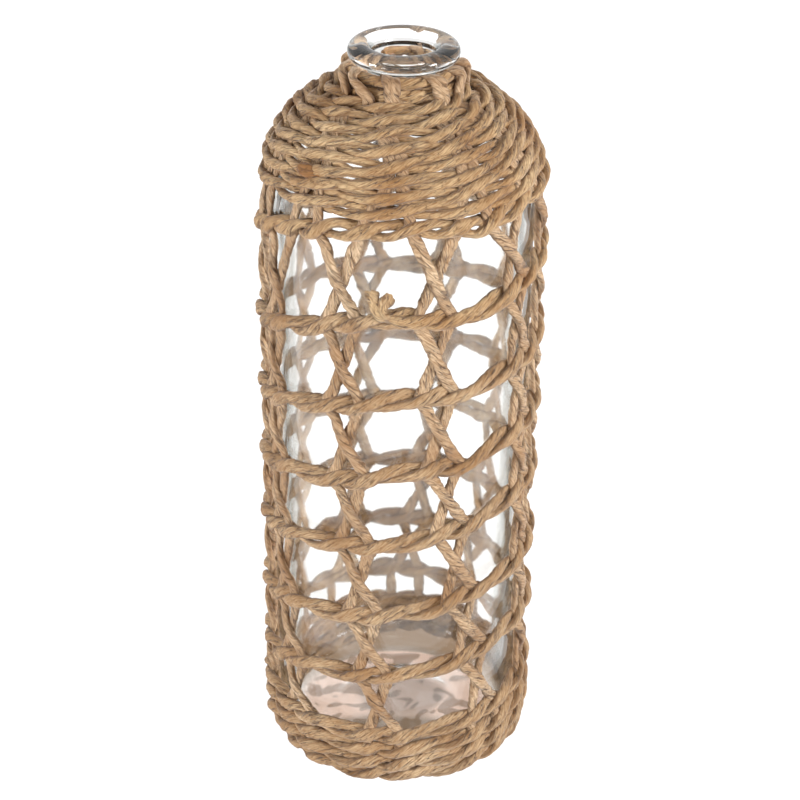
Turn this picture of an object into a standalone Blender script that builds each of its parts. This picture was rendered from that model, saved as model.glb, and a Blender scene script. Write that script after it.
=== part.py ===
"""A glass bottle vase inside a net of twined paper cord.

Ten stake cords are folded over a collar under the lip. Their twenty legs run
down the glass, cross in pairs in every cell of the open net, and end at the
heel. A twined weaver goes round outside them in one falling helix: close turns
on the shoulder, wide turns down the net, close turns in the foot band.

Lengths are in metres and +Z is up. The bottle stands on z = 0 with its axis on
the Z axis. Angles are in degrees, with 0 at the front (-Y) and 90 at +X.
"""

import math

import bmesh
import bpy
from mathutils import Vector

# Glass bottle
BOTTLE_HEIGHT = 0.2733
BODY_RADIUS = 0.0450
WALL = 0.0032
FLOOR_HEIGHT = 0.0080
PUNT_RISE = 0.0030
FOOT_RING_WIDTH = 0.0064
HEEL_RADIUS = 0.0126
SHOULDER_RISE = 0.0330
NECK_RADIUS = 0.0146
NECK_LENGTH = 0.0122
NECK_FILLET = 0.0030
BORE_RADIUS = 0.0108
LIP_THICKNESS = 0.0061
LIP_OVERHANG = 0.0040
LIP_INNER_ROUND = 0.0012
SHOULDER_FULLNESS = 1.8  # power of the shoulder's curve, 2 is an ellipse
BOTTLE_STEPS = 40
PUNT_SHOULDER_SHARE = 0.7  # rise of the punt half way in
SHARP_DEGREES = 50.0

# Paper cord
LAYER_GAP = 0.00035  # air between two layers of cord, and between cord and glass
STAKE_WIDTH = 0.0039
STAKE_THICKNESS = 0.0019
ROW_THICKNESS = 0.0020
SECTION_SHARES = ((1.0, 0.0), (0.5, 1.0), (-0.5, 1.0), (-1.0, 0.0), (-0.5, -1.0), (0.5, -1.0))

# Weaver: turns are counted from the front, where turn 1 is the net's first row
LOOP_POINTS = 24
SHOULDER_TURNS = 6
NET_TURNS = 7
BAND_TURNS = 3.5
SHOULDER_START_RADIUS = 0.0257  # where the first close turn lies on the glass
SHOULDER_END_RISE = 0.0098  # last close turn above the foot of the shoulder
NET_TOP_RISE = 0.0050  # first net row above the foot of the shoulder
BAND_TOP_HEIGHT = 0.0252
HEEL_WRAP_DEGREES = 40.0  # how far the last turn goes round the heel
NET_ROW_WIDTH = 0.0066
ROW_GAP = 0.0005
SPLICE_GAP = 0.0005
NET_ROW_SHARES = (0.0, 0.155, 0.305, 0.449, 0.588, 0.730, 0.864, 1.0)
TILT_TOP = 0.0079  # the net's rows lie higher on one side by up to twice this
TILT_FOOT = 0.0041
TILT_HIGH_SIDE = 50.0
TILT_START_TURN = 0.5  # the rows start to tip here, and are tipped in full a little later
TILT_START_TURNS = 0.6
# The hand-woven net rows bow: how far each lies above its even helix at places round the front
BOW_ANGLES = (110.0, 60.0, 45.0, 30.0, 15.0, 0.0, -30.0, -50.0, -70.0, -110.0)
ROW_BOWS = (
    (0.0, -0.0013, -0.0026, -0.0036, -0.0020, 0.0, 0.0035, 0.0048, 0.0029, 0.0),
    (0.0, -0.0040, -0.0048, -0.0060, -0.0040, 0.0, 0.0005, 0.0, -0.0030, 0.0),
    (0.0, -0.0035, -0.0036, -0.0050, -0.0018, 0.0, 0.0, -0.0003, -0.0020, 0.0),
    (0.0, -0.0010, -0.0008, -0.0026, -0.0008, 0.0003, 0.0, 0.0008, -0.0015, 0.0),
    (0.0, 0.0020, 0.0010, 0.0003, 0.0008, -0.0003, 0.0009, 0.0020, 0.0005, 0.0),
    (0.0, 0.0, -0.0005, -0.0005, -0.0012, -0.0004, 0.0, 0.0005, -0.0010, 0.0),
    (0.0, 0.0010, 0.0009, 0.0006, -0.0002, -0.0004, 0.0016, 0.0013, 0.0, 0.0),
)

# Collar: two level turns that the stakes are folded over
COLLAR_TURNS = 2
COLLAR_ROW_WIDTH = 0.0035
COLLAR_ROW_GAP = 0.0005
COLLAR_TOP_DROP = 0.0038  # middle of the upper turn below the lip
COLLAR_START_DEGREES = 180.0
COLLAR_CLIMB_SHARE = 0.25  # part of each turn in which the collar drops a row

# Stakes: places round the vase in degrees, chosen from the front round to the left
NECK_ANGLES = (-77.0, -49.0, -16.0, 30.0, 56.5, 83.5, 123.0, 163.0, 203.0, 243.0)
STRIP_ANGLES = (-69.0, -40.0, -3.0, 31.0, 62.0, 98.0, 136.0, 175.0, 213.0, 252.0)
COLUMN_TOP_ANGLES = (-57.0, -25.0, 13.0, 45.5, 80.0, 117.0, 156.0, 194.0, 233.0, 270.0)
COLUMN_FOOT_ANGLES = (-48.5, -5.0, 43.0, 78.5, 110.0, 143.0, 176.0, 209.0, 243.0, 276.0)
COLUMN_BOWS = (-9.0, 0.0, 0.0, 10.5, 5.0, 0.0, 0.0, 0.0, 0.0, -4.0)  # sideways on the way down
COLUMN_BOW_POWER = 0.6
NET_START_ANGLE = 50.0  # the first net row leaves the shoulder here
FIRST_CROSSING_TURN = 0.3  # above this turn a cell is too low for a crossing
TOP_SPREAD = 9.5
NET_SPREAD = 7.2
STRIP_SHARE = 0.5  # two legs lie side by side at their strip's angle from here down the shoulder
PARTING_SHARE = 0.6  # and part from here on
SHOULDER_STATIONS = 8
SHOULDER_STATION_POWER = 1.15  # closer together near the neck, where the glass bends most
LEAVE_SHARE = 0.16  # a leg leaves its row here in a cell, and is lifted here for a crossing
LIFT_SHARE = 0.34

# Finishes
GLASS_COLOUR = (0.86, 0.90, 0.89, 1.0)
CORD_COLOUR = (0.50, 0.35, 0.20, 1.0)

FULL_TURN = 2 * math.pi
QUARTER = math.pi / 2
LIP_BOTTOM = BOTTLE_HEIGHT - LIP_THICKNESS
SHOULDER_TOP = LIP_BOTTOM - NECK_LENGTH
SHOULDER_BASE = SHOULDER_TOP - SHOULDER_RISE
SHOULDER_EDGE_RADIUS = NECK_RADIUS + NECK_FILLET
STAKE_LIFT = LAYER_GAP + STAKE_THICKNESS / 2
CROSSING_LIFT = STAKE_LIFT + STAKE_THICKNESS + LAYER_GAP
OVER_STAKES = LAYER_GAP + STAKE_THICKNESS + LAYER_GAP
STAKE_HALF_PITCH = (STAKE_WIDTH + LAYER_GAP) / 2
UNDER_PATH = ((LEAVE_SHARE, STAKE_LIFT), (1 - LEAVE_SHARE, STAKE_LIFT))
OVER_PATH = (UNDER_PATH[0], (LIFT_SHARE, CROSSING_LIFT), (1 - LIFT_SHARE, CROSSING_LIFT), UNDER_PATH[1])
CHORD_FACTOR = 1 / math.cos(math.pi / LOOP_POINTS)  # keeps a loop's straight chords clear


def clear_scene():
    for item in list(bpy.data.objects):
        bpy.data.objects.remove(item, do_unlink=True)


def new_material(name, colour, roughness, transmission):
    material = bpy.data.materials.new(name)
    material.use_nodes = True
    shader = material.node_tree.nodes["Principled BSDF"]
    shader.inputs["Base Color"].default_value = colour
    shader.inputs["Roughness"].default_value = roughness
    shader.inputs["Metallic"].default_value = 0.0
    shader.inputs["Transmission Weight"].default_value = transmission
    material.diffuse_color = colour
    return material


def new_object(name, mesh_builder, material, parent):
    mesh = bpy.data.meshes.new(name)
    mesh_builder.to_mesh(mesh)
    mesh_builder.free()
    mesh.materials.append(material)
    mesh.shade_smooth()
    mesh.set_sharp_from_angle(angle=math.radians(SHARP_DEGREES))
    item = bpy.data.objects.new(name, mesh)
    item.parent = parent
    bpy.context.scene.collection.objects.link(item)
    return item


def arc(centre_radius, centre_height, size, first, last, steps):
    """Points (radius, height) on a round, with angles from +radius towards +height."""
    points = []
    for step in range(steps + 1):
        angle = first + (last - first) * step / steps
        points.append((centre_radius + size * math.cos(angle), centre_height + size * math.sin(angle)))
    return points


def shoulder_curve(offset, steps):
    """The shoulder from its top edge out and down to the body, moved in by an offset."""
    reach = BODY_RADIUS - SHOULDER_EDGE_RADIUS - offset
    rise = SHOULDER_RISE - offset
    power = 2 / SHOULDER_FULLNESS
    points = []
    for step in range(steps + 1):
        angle = QUARTER * (1 - step / steps)
        radius = SHOULDER_EDGE_RADIUS + reach * max(math.cos(angle), 0.0) ** power
        points.append((radius, SHOULDER_BASE + rise * math.sin(angle) ** power))
    return points


def cord_side(fillet_steps, shoulder_steps, heel_steps):
    """The outside of the glass that carries cord, from under the lip to the foot."""
    fillet_height = SHOULDER_TOP + NECK_FILLET
    points = [(NECK_RADIUS, LIP_BOTTOM)]
    points += arc(SHOULDER_EDGE_RADIUS, fillet_height, NECK_FILLET, math.pi, 1.5 * math.pi, fillet_steps)
    points += shoulder_curve(0.0, shoulder_steps)[1:]
    points += arc(BODY_RADIUS - HEEL_RADIUS, HEEL_RADIUS, HEEL_RADIUS, 0.0, -QUARTER, heel_steps)
    return points


def bottle_outline():
    """The whole wall in section: up the inside, over the lip, down the outside, under the foot."""
    inner_heel = HEEL_RADIUS - WALL
    inner_fillet = SHOULDER_EDGE_RADIUS - BORE_RADIUS
    inner_top = SHOULDER_TOP - WALL
    lip_round = LIP_THICKNESS / 2
    lip_radius = NECK_RADIUS + LIP_OVERHANG - lip_round
    foot_inner = BODY_RADIUS - HEEL_RADIUS - FOOT_RING_WIDTH
    points = [(0.0, FLOOR_HEIGHT)]
    points += arc(BODY_RADIUS - HEEL_RADIUS, FLOOR_HEIGHT + inner_heel, inner_heel, -QUARTER, 0.0, 3)
    points += reversed(shoulder_curve(WALL, 6))
    points += arc(SHOULDER_EDGE_RADIUS, inner_top + inner_fillet, inner_fillet, 1.5 * math.pi, math.pi, 3)[1:]
    points += arc(BORE_RADIUS + LIP_INNER_ROUND, BOTTLE_HEIGHT - LIP_INNER_ROUND, LIP_INNER_ROUND,
                  math.pi, QUARTER, 2)
    points += arc(lip_radius, BOTTLE_HEIGHT - lip_round, lip_round, QUARTER, -QUARTER, 6)
    points += cord_side(3, 8, 5)
    points.append((foot_inner, 0.0))
    points.append((foot_inner / 2, PUNT_RISE * PUNT_SHOULDER_SHARE))
    points.append((0.0, PUNT_RISE))
    return points


def turned_piece(name, outline, steps, material, parent):
    bm = bmesh.new()
    corners = [bm.verts.new((radius, 0.0, height)) for radius, height in outline]
    edges = [bm.edges.new(pair) for pair in zip(corners, corners[1:])]
    bmesh.ops.spin(bm, geom=corners + edges, cent=(0.0, 0.0, 0.0), axis=(0.0, 0.0, 1.0),
                   angle=FULL_TURN, steps=steps, use_merge=True)
    bmesh.ops.remove_doubles(bm, verts=bm.verts, dist=LAYER_GAP / 100)
    bmesh.ops.recalc_face_normals(bm, faces=bm.faces)
    return new_object(name, bm, material, parent)


def measured_side():
    """Points down the glass, each with its distance from the first."""
    points = cord_side(24, 96, 48)
    runs = [0.0]
    for first, second in zip(points, points[1:]):
        runs.append(runs[-1] + math.dist(first, second))
    return points, runs


SIDE_POINTS, SIDE_RUNS = measured_side()


def glass_at(run):
    """Radius, height and outward direction of the glass at a distance down its side."""
    index = 1
    while index < len(SIDE_RUNS) - 1 and SIDE_RUNS[index] < run:
        index += 1
    (radius_a, height_a), (radius_b, height_b) = SIDE_POINTS[index - 1], SIDE_POINTS[index]
    length = SIDE_RUNS[index] - SIDE_RUNS[index - 1]
    share = (run - SIDE_RUNS[index - 1]) / length
    radius = radius_a + (radius_b - radius_a) * share
    height = height_a + (height_b - height_a) * share
    return radius, height, (height_a - height_b) / length, (radius_b - radius_a) / length


def run_where(reached):
    """The first distance down the glass at which a test of (radius, height) holds."""
    for point, run in zip(SIDE_POINTS, SIDE_RUNS):
        if reached(*point):
            return run
    return SIDE_RUNS[-1]


def run_at_height(height):
    below = run_where(lambda radius, at: at <= height)
    return below - (height - glass_at(below)[1])


SHOULDER_START_RUN = run_where(lambda radius, height: radius >= SHOULDER_START_RADIUS)
HEEL_RUN = run_at_height(HEEL_RADIUS)
BAND_TOP_RUN = run_at_height(BAND_TOP_HEIGHT)
BAND_END_RUN = HEEL_RUN + math.radians(HEEL_WRAP_DEGREES) * HEEL_RADIUS
BAND_END_TURN = 1 + NET_TURNS + BAND_TURNS


def turn_knots():
    """Distance down the glass at the front for whole turns of the weaver."""
    end_run = run_where(lambda radius, height: radius > SHOULDER_EDGE_RADIUS and
                        height <= SHOULDER_BASE + SHOULDER_END_RISE)
    net_top = SHOULDER_BASE + NET_TOP_RISE
    net_drop = net_top - BAND_TOP_HEIGHT
    knots = {-SHOULDER_TURNS: SHOULDER_START_RUN, 0: end_run}
    for row, share in enumerate(NET_ROW_SHARES):
        knots[row + 1] = run_at_height(net_top - net_drop * share)
    knots[BAND_END_TURN] = BAND_END_RUN
    return sorted(knots.items())


TURN_KNOTS = turn_knots()


def smooth(share):
    share = min(max(share, 0.0), 1.0)
    return share * share * (3 - 2 * share)


def net_tilt(turn):
    """How far up the net's rows are tipped at this turn."""
    down_net = min(max((turn - 1) / (NET_TURNS - 1), 0.0), 1.0)
    size = TILT_TOP + (TILT_FOOT - TILT_TOP) * down_net
    fade = smooth((turn - TILT_START_TURN) / TILT_START_TURNS) * (1 - smooth(turn - NET_TURNS))
    high = math.radians(TILT_HIGH_SIDE)
    return size * fade * (math.cos(-FULL_TURN * turn - high) - math.cos(high))


def net_bow(turn):
    """How far up the nearest net row bows at this turn."""
    row = min(max(round(turn), 1), NET_TURNS)
    degrees = (row - turn) * 360
    knots = list(zip(BOW_ANGLES, ROW_BOWS[row - 1]))
    for (angle_a, bow_a), (angle_b, bow_b) in zip(knots, knots[1:]):
        if angle_b <= degrees <= angle_a:
            return bow_a + (bow_b - bow_a) * smooth((angle_a - degrees) / (angle_a - angle_b))
    return 0.0


def row_run(turn):
    """Distance down the glass of the weaver's middle."""
    for (turn_a, run_a), (turn_b, run_b) in zip(TURN_KNOTS, TURN_KNOTS[1:]):
        if turn <= turn_b or turn_b == BAND_END_TURN:
            even_run = run_a + (run_b - run_a) * (turn - turn_a) / (turn_b - turn_a)
            return even_run - net_tilt(turn) - net_bow(turn)


def row_width(turn):
    """As wide as the twined pair, and no wider than the next turn leaves room for."""
    room = min(row_run(turn + 1) - row_run(turn), row_run(turn) - row_run(turn - 1))
    if turn > BAND_END_TURN - 1:
        room = row_run(turn) - row_run(turn - 1)
    if turn < 1 - SHOULDER_TURNS:
        room = row_run(turn + 1) - row_run(turn)
    return min(NET_ROW_WIDTH, room - ROW_GAP)


def around(radius, height, angle):
    return Vector((radius * math.sin(angle), -radius * math.cos(angle), height))


def row_station(turn):
    """Middle, outward direction and width of the weaver at one place."""
    angle = -FULL_TURN * turn
    radius, height, out_radius, out_height = glass_at(row_run(turn))
    tuck = smooth(turn - (BAND_END_TURN - 1))
    seat = OVER_STAKES + (LAYER_GAP - OVER_STAKES) * tuck
    middle_radius = (radius + out_radius * seat) * CHORD_FACTOR + out_radius * ROW_THICKNESS / 2
    middle_height = height + out_height * (seat + ROW_THICKNESS / 2)
    return around(middle_radius, middle_height, angle), around(out_radius, out_height, angle), row_width(turn)


def stations_between(first, last):
    """The first and last place on a winding and the loop points between them."""
    start = math.floor(first * LOOP_POINTS) + 1
    stop = math.ceil(last * LOOP_POINTS)
    return [first] + [index / LOOP_POINTS for index in range(start, stop)] + [last]


def swept_cord(name, stations, thickness, material, parent):
    """One closed flattened tube through stations of (middle, outward, width)."""
    bm = bmesh.new()
    rings = []
    for index, (middle, outward, width) in enumerate(stations):
        before = stations[max(index - 1, 0)][0]
        after = stations[min(index + 1, len(stations) - 1)][0]
        along = (after - before).normalized()
        side = along.cross(outward).normalized()
        face = side.cross(along)
        ring = []
        for side_share, face_share in SECTION_SHARES:
            place = middle + side * (side_share * width / 2) + face * (face_share * thickness / 2)
            ring.append(bm.verts.new(place))
        rings.append(ring)
    for first, second in zip(rings, rings[1:]):
        for index in range(len(SECTION_SHARES)):
            bm.faces.new((first[index], first[index - 1], second[index - 1], second[index]))
    bm.faces.new(rings[0])
    bm.faces.new(reversed(rings[-1]))
    bmesh.ops.recalc_face_normals(bm, faces=bm.faces)
    return new_object(name, bm, material, parent)


def least_gap(stations, thickness):
    """The least distance between turns of one winding, measured on their points."""
    least = math.inf
    for index, (middle, outward, width) in enumerate(stations):
        for other in stations[index + LOOP_POINTS // 2:]:
            apart = other[0] - middle
            across = abs(apart.dot(outward))
            along_glass = math.sqrt(max(apart.length_squared - across * across, 0.0))
            gap = max(along_glass - (width + other[2]) / 2, across - thickness)
            least = min(least, gap)
    return least


def winding(name, stations, material, parent):
    print(f"{name}: least gap to itself {least_gap(stations, ROW_THICKNESS) * 1000:.2f} mm")
    return swept_cord(name, stations, ROW_THICKNESS, material, parent)


def collar_radius():
    inner = (NECK_RADIUS + OVER_STAKES) * CHORD_FACTOR
    return inner + ROW_THICKNESS / 2


def collar_height(turn):
    """Middle of the collar: level, with a short drop of one row at the end of each turn."""
    whole = math.floor(turn)
    drop = whole + smooth((turn - whole - 1) / COLLAR_CLIMB_SHARE + 1)
    return LIP_BOTTOM - COLLAR_TOP_DROP - (COLLAR_ROW_WIDTH + COLLAR_ROW_GAP) * drop


def collar_station(turn):
    angle = math.radians(COLLAR_START_DEGREES) - FULL_TURN * turn
    return around(collar_radius(), collar_height(turn), angle), around(1.0, 0.0, angle), COLLAR_ROW_WIDTH


def collar_top(angle):
    """Height of the collar's upper turn at a place round the neck."""
    turn = ((math.radians(COLLAR_START_DEGREES) - angle) / FULL_TURN) % 1
    return collar_height(turn)


def stake_station(run, angle, lift, sense):
    radius, height, out_radius, out_height = glass_at(run)
    middle = around(radius + out_radius * lift, height + out_height * lift, angle)
    return middle, around(out_radius, out_height, angle) * sense, STAKE_WIDTH


def column_angle(column, share):
    top = COLUMN_TOP_ANGLES[column]
    bow = COLUMN_BOWS[column] * math.sin(math.pi * share ** COLUMN_BOW_POWER)
    return top + (COLUMN_FOOT_ANGLES[column] - top) * share * share + bow


def net_stations(column, start_side, sense):
    """One leg down the net: it changes sides in each cell, and passes over when it goes right."""
    wrapped = COLUMN_TOP_ANGLES[column]
    while wrapped > NET_START_ANGLE:
        wrapped -= 360
    first_row = math.ceil(FIRST_CROSSING_TURN + wrapped / 360)
    behind = wrapped - COLUMN_TOP_ANGLES[column]
    levels = []
    for level in range(NET_TURNS + 1):
        spread = TOP_SPREAD if level == 0 else NET_SPREAD
        side = start_side if level % 2 == 0 else -start_side
        degrees = column_angle(column, level / NET_TURNS) + side * spread + behind
        levels.append((row_run(first_row + level - degrees / 360), math.radians(degrees), side))
    stations = []
    for (run_a, angle_a, side), (run_b, angle_b, _) in zip(levels, levels[1:]):
        path = OVER_PATH if side < 0 else UNDER_PATH
        for share, lift in path:
            run = run_a + (run_b - run_a) * share
            angle = angle_a + (angle_b - angle_a) * share
            stations.append(stake_station(run, angle, lift, sense))
        if side > 0 and not stations[2:]:
            middle = stake_station((run_a + run_b) / 2, (angle_a + angle_b) / 2, STAKE_LIFT, sense)
            stations.insert(1, middle)
    run, angle, _ = levels[-1]
    last_turn = math.floor(BAND_END_TURN - 1 + angle / FULL_TURN) - angle / FULL_TURN
    foot_run = row_run(last_turn)
    for share in (0.0, 0.5, 1.0):
        stations.append(stake_station(run + (foot_run - run) * share, angle, STAKE_LIFT, sense))
    return stations, levels[0]


def shoulder_stations(first_run, stake, side, sense, last_run, last_angle):
    """One leg from the neck along the shoulder to where it enters the net."""
    stations = []
    turn_back = round((last_angle - math.radians(STRIP_ANGLES[stake])) / FULL_TURN) * FULL_TURN
    for step in range(SHOULDER_STATIONS):
        share = (step / (SHOULDER_STATIONS - 1)) ** SHOULDER_STATION_POWER
        run = first_run + (last_run - first_run) * share
        radius = glass_at(run)[0] + STAKE_LIFT
        drift = STRIP_ANGLES[stake] - NECK_ANGLES[stake]
        strip = NECK_ANGLES[stake] + drift * smooth(share / STRIP_SHARE)
        beside = math.radians(strip) + side * STAKE_HALF_PITCH / radius
        parting = smooth((share - PARTING_SHARE) / (1 - PARTING_SHARE))
        angle = beside + (last_angle - turn_back - beside) * parting
        stations.append(stake_station(run, angle, STAKE_LIFT, sense))
    return stations


def loop_stations(stake):
    """The fold over the collar, from the inside leg to the outside leg."""
    middle_angle = math.radians(NECK_ANGLES[stake])
    top = collar_top(middle_angle)
    reach = ROW_THICKNESS / 2 + LAYER_GAP + STAKE_THICKNESS / 2
    inner = NECK_RADIUS + STAKE_LIFT
    outer = collar_radius() + reach
    low = collar_height(COLLAR_TURNS - 1) - COLLAR_ROW_WIDTH / 2
    turn_height = top + COLLAR_ROW_WIDTH / 2 - ROW_THICKNESS / 2
    places = [(inner, SHOULDER_TOP + NECK_FILLET, -1.0, 0.0), (inner, turn_height, -1.0, 0.0)]
    for degrees in (135.0, 90.0, 45.0):
        out_radius = math.cos(math.radians(degrees))
        out_height = math.sin(math.radians(degrees))
        middle = (inner + outer) / 2
        places.append((middle + out_radius * (outer - inner) / 2, turn_height + out_height * reach,
                       out_radius, out_height))
    places += [(outer, turn_height, 1.0, 0.0), (outer, low, 1.0, 0.0)]
    stations = []
    for index, (radius, height, out_radius, out_height) in enumerate(places):
        side = 2 * index / (len(places) - 1) - 1
        angle = middle_angle + side * STAKE_HALF_PITCH / radius
        stations.append((around(radius, height, angle), around(out_radius, out_height, angle), STAKE_WIDTH))
    return stations


def stake_cord(stake, material, parent):
    """One cord folded in half: its left leg inside the collar, its right leg outside."""
    count = len(NECK_ANGLES)
    left_net, left_level = net_stations((stake - 1) % count, 1, -1.0)
    right_net, right_level = net_stations(stake, -1, 1.0)
    fillet_start = run_at_height(SHOULDER_TOP + NECK_FILLET)
    fillet_end = run_where(lambda radius, height: radius >= SHOULDER_EDGE_RADIUS)
    fillet_angle = math.radians(NECK_ANGLES[stake]) - STAKE_HALF_PITCH / SHOULDER_EDGE_RADIUS
    fillet = [stake_station((fillet_start + fillet_end) / 2, fillet_angle, STAKE_LIFT, -1.0)]
    outer_leg = collar_radius() + ROW_THICKNESS / 2 + OVER_STAKES
    outer_start = run_where(lambda radius, height: radius >= outer_leg)
    left = fillet + shoulder_stations(fillet_end, stake, -1, -1.0, left_level[0], left_level[1])
    right = shoulder_stations(outer_start, stake, 1, 1.0, right_level[0], right_level[1])
    stations = list(reversed(left + left_net)) + loop_stations(stake) + right + right_net
    return swept_cord(f"stake_cord_{stake + 1}", stations, STAKE_THICKNESS, material, parent)


def weaver(parent, material):
    """The three lengths of twined weaver, end to end at their splices."""
    joint_a = 2 + 0.5 / LOOP_POINTS
    joint_b = 1 + NET_TURNS + 0.5 / LOOP_POINTS
    half_gap = SPLICE_GAP / (2 * FULL_TURN * BODY_RADIUS)
    lengths = (
        ("shoulder_winding", -SHOULDER_TURNS, joint_a - half_gap),
        ("net_winding", joint_a + half_gap, joint_b - half_gap),
        ("foot_band_winding", joint_b + half_gap, BAND_END_TURN),
    )
    for name, first, last in lengths:
        winding(name, [row_station(turn) for turn in stations_between(first, last)], material, parent)


def build_vase():
    clear_scene()
    vase = bpy.data.objects.new("vase", None)
    bpy.context.scene.collection.objects.link(vase)
    glass = new_material("clear_glass", GLASS_COLOUR, 0.03, 1.0)
    cord = new_material("twisted_paper_cord", CORD_COLOUR, 0.85, 0.0)
    turned_piece("glass_bottle", bottle_outline(), BOTTLE_STEPS, glass, vase)
    collar_end = COLLAR_TURNS - COLLAR_CLIMB_SHARE
    winding("neck_collar", [collar_station(turn) for turn in stations_between(0, collar_end)], cord, vase)
    weaver(vase, cord)
    for stake in range(len(NECK_ANGLES)):
        stake_cord(stake, cord, vase)


build_vase()
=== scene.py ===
"""The looks of a glass bottle vase inside a net of twined paper cord.

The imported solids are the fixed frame. The bottle is turned again with a finer
outline, and every winding becomes the two strands that it is twined from: at
each leg of a stake cord one strand passes in front and the other behind.

Lengths are in metres, or in mm where a comment says so, and +Z is up. The bottle
stands on z = 0 on the Z axis. Degrees go from 0 at the front (-Y) to 90 at +X.
"""
import math
from functools import partial

import bpy
import numpy as np
from mathutils import Matrix


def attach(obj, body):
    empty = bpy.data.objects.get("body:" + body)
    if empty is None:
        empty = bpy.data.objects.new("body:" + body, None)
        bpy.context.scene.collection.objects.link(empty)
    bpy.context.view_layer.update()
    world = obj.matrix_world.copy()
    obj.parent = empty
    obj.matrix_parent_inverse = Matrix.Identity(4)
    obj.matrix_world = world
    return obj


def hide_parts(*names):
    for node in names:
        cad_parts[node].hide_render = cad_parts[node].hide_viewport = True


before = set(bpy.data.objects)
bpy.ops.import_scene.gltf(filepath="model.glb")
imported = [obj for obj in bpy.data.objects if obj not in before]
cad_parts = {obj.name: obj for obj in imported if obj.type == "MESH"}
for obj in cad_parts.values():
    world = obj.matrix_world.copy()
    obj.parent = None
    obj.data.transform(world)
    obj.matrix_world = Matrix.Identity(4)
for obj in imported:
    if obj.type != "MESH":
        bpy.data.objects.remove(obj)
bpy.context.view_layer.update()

MM = 0.001
TO_MM = 1000
FULL_TURN = 2 * math.pi
QUARTER = math.pi / 2

# Camera, from the photograph's own view of the bottle
CAMERA_PLACE = (0.00013, -0.66192, 0.51513)
CAMERA_TILT = 60.375  # degrees up from straight down
CAMERA_ROLL = 0.701
CAMERA_SENSOR = 36.0
CAMERA_LENS = 95.97

# Glass bottle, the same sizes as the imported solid
BOTTLE_HEIGHT = 0.2733
BODY_RADIUS = 0.0450
WALL = 0.0032
FLOOR_HEIGHT = 0.0080
PUNT_RISE = 0.0030
FOOT_RING_WIDTH = 0.0064
HEEL_RADIUS = 0.0126
SHOULDER_RISE = 0.0330
NECK_RADIUS = 0.0146
NECK_LENGTH = 0.0122
NECK_FILLET = 0.0030
BORE_RADIUS = 0.0108
LIP_THICKNESS = 0.0061
LIP_OVERHANG = 0.0040
LIP_FULLNESS = 2.2  # 2 would make the bead of the lip an ellipse
SHOULDER_FULLNESS = 1.8
PUNT_FULLNESS = 0.8
BOTTLE_STEPS = 144  # round the axis
INNER_HEEL_STEPS = 12
INNER_SHOULDER_STEPS = 24
INNER_NECK_STEPS = 12
LIP_STEPS = 44
OUTSIDE_STEPS = (6, 28, 12)  # under the lip, down the shoulder and round the heel
PUNT_STEPS = 10
SAME_PLACE = 0.01 * MM
LIP_BOTTOM = BOTTLE_HEIGHT - LIP_THICKNESS
SHOULDER_TOP = LIP_BOTTOM - NECK_LENGTH
SHOULDER_BASE = SHOULDER_TOP - SHOULDER_RISE
SHOULDER_EDGE_RADIUS = NECK_RADIUS + NECK_FILLET

# Weaver: turns are counted from the front, where turn 1 is the net's first row
SHOULDER_TURNS = 6
NET_TURNS = 7
BAND_TURNS = 3.5
BAND_END_TURN = 1 + NET_TURNS + BAND_TURNS
SHOULDER_START_RADIUS = 0.0257
SHOULDER_END_RISE = 0.0098
NET_TOP_RISE = 0.0050
BAND_TOP_HEIGHT = 0.0252
HEEL_WRAP_DEGREES = 40.0
NET_ROW_SHARES = (0.0, 0.155, 0.305, 0.449, 0.588, 0.730, 0.864, 1.0)
TILT_TOP = 0.0079
TILT_FOOT = 0.0041
TILT_HIGH_SIDE = 50.0
TILT_START_TURN = 0.5
TILT_START_TURNS = 0.6
# The first two turns are pulled up against the neck, where the legs come down from the collar
START_TURN = -8.4
TOP_TURNS = (START_TURN, -8.0, -7.0)
TOP_RADII = (0.0159, 0.0161, 0.0207)
TOP_LIFT_TURNS = (*TOP_TURNS, -6.0, -5.0)
TOP_LIFTS = (0.0038, 0.0037, 0.0029, 0.0026, 0.0025)
# How far in mm each net row bows up (+) or down from its even helix, at places round the front
BOW_ANGLES = (110.0, 60.0, 45.0, 30.0, 15.0, 0.0, -30.0, -50.0, -70.0, -110.0)
ROW_BOWS = (
    (0.0, -1.3, -2.6, -3.6, -2.0, 0.0, 3.5, 4.8, 2.9, 0.0),
    (0.0, -4.0, -4.8, -6.0, -4.0, 0.0, 0.5, 0.0, -3.0, 0.0),
    (0.0, -3.5, -3.6, -5.0, -1.8, 0.0, 0.0, -0.3, -2.0, 0.0),
    (0.0, -1.0, -0.8, -2.6, -0.8, 0.3, 0.0, 0.8, -1.5, 0.0),
    (0.0, 2.0, 1.0, 0.3, 0.8, -0.3, 0.9, 2.0, 0.5, 0.0),
    (0.0, 0.0, -0.5, -0.5, -1.2, -0.4, 0.0, 0.5, -1.0, 0.0),
    (0.0, 1.0, 0.9, 0.6, -0.2, -0.4, 1.6, 1.3, 0.0, 0.0),
)

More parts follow.
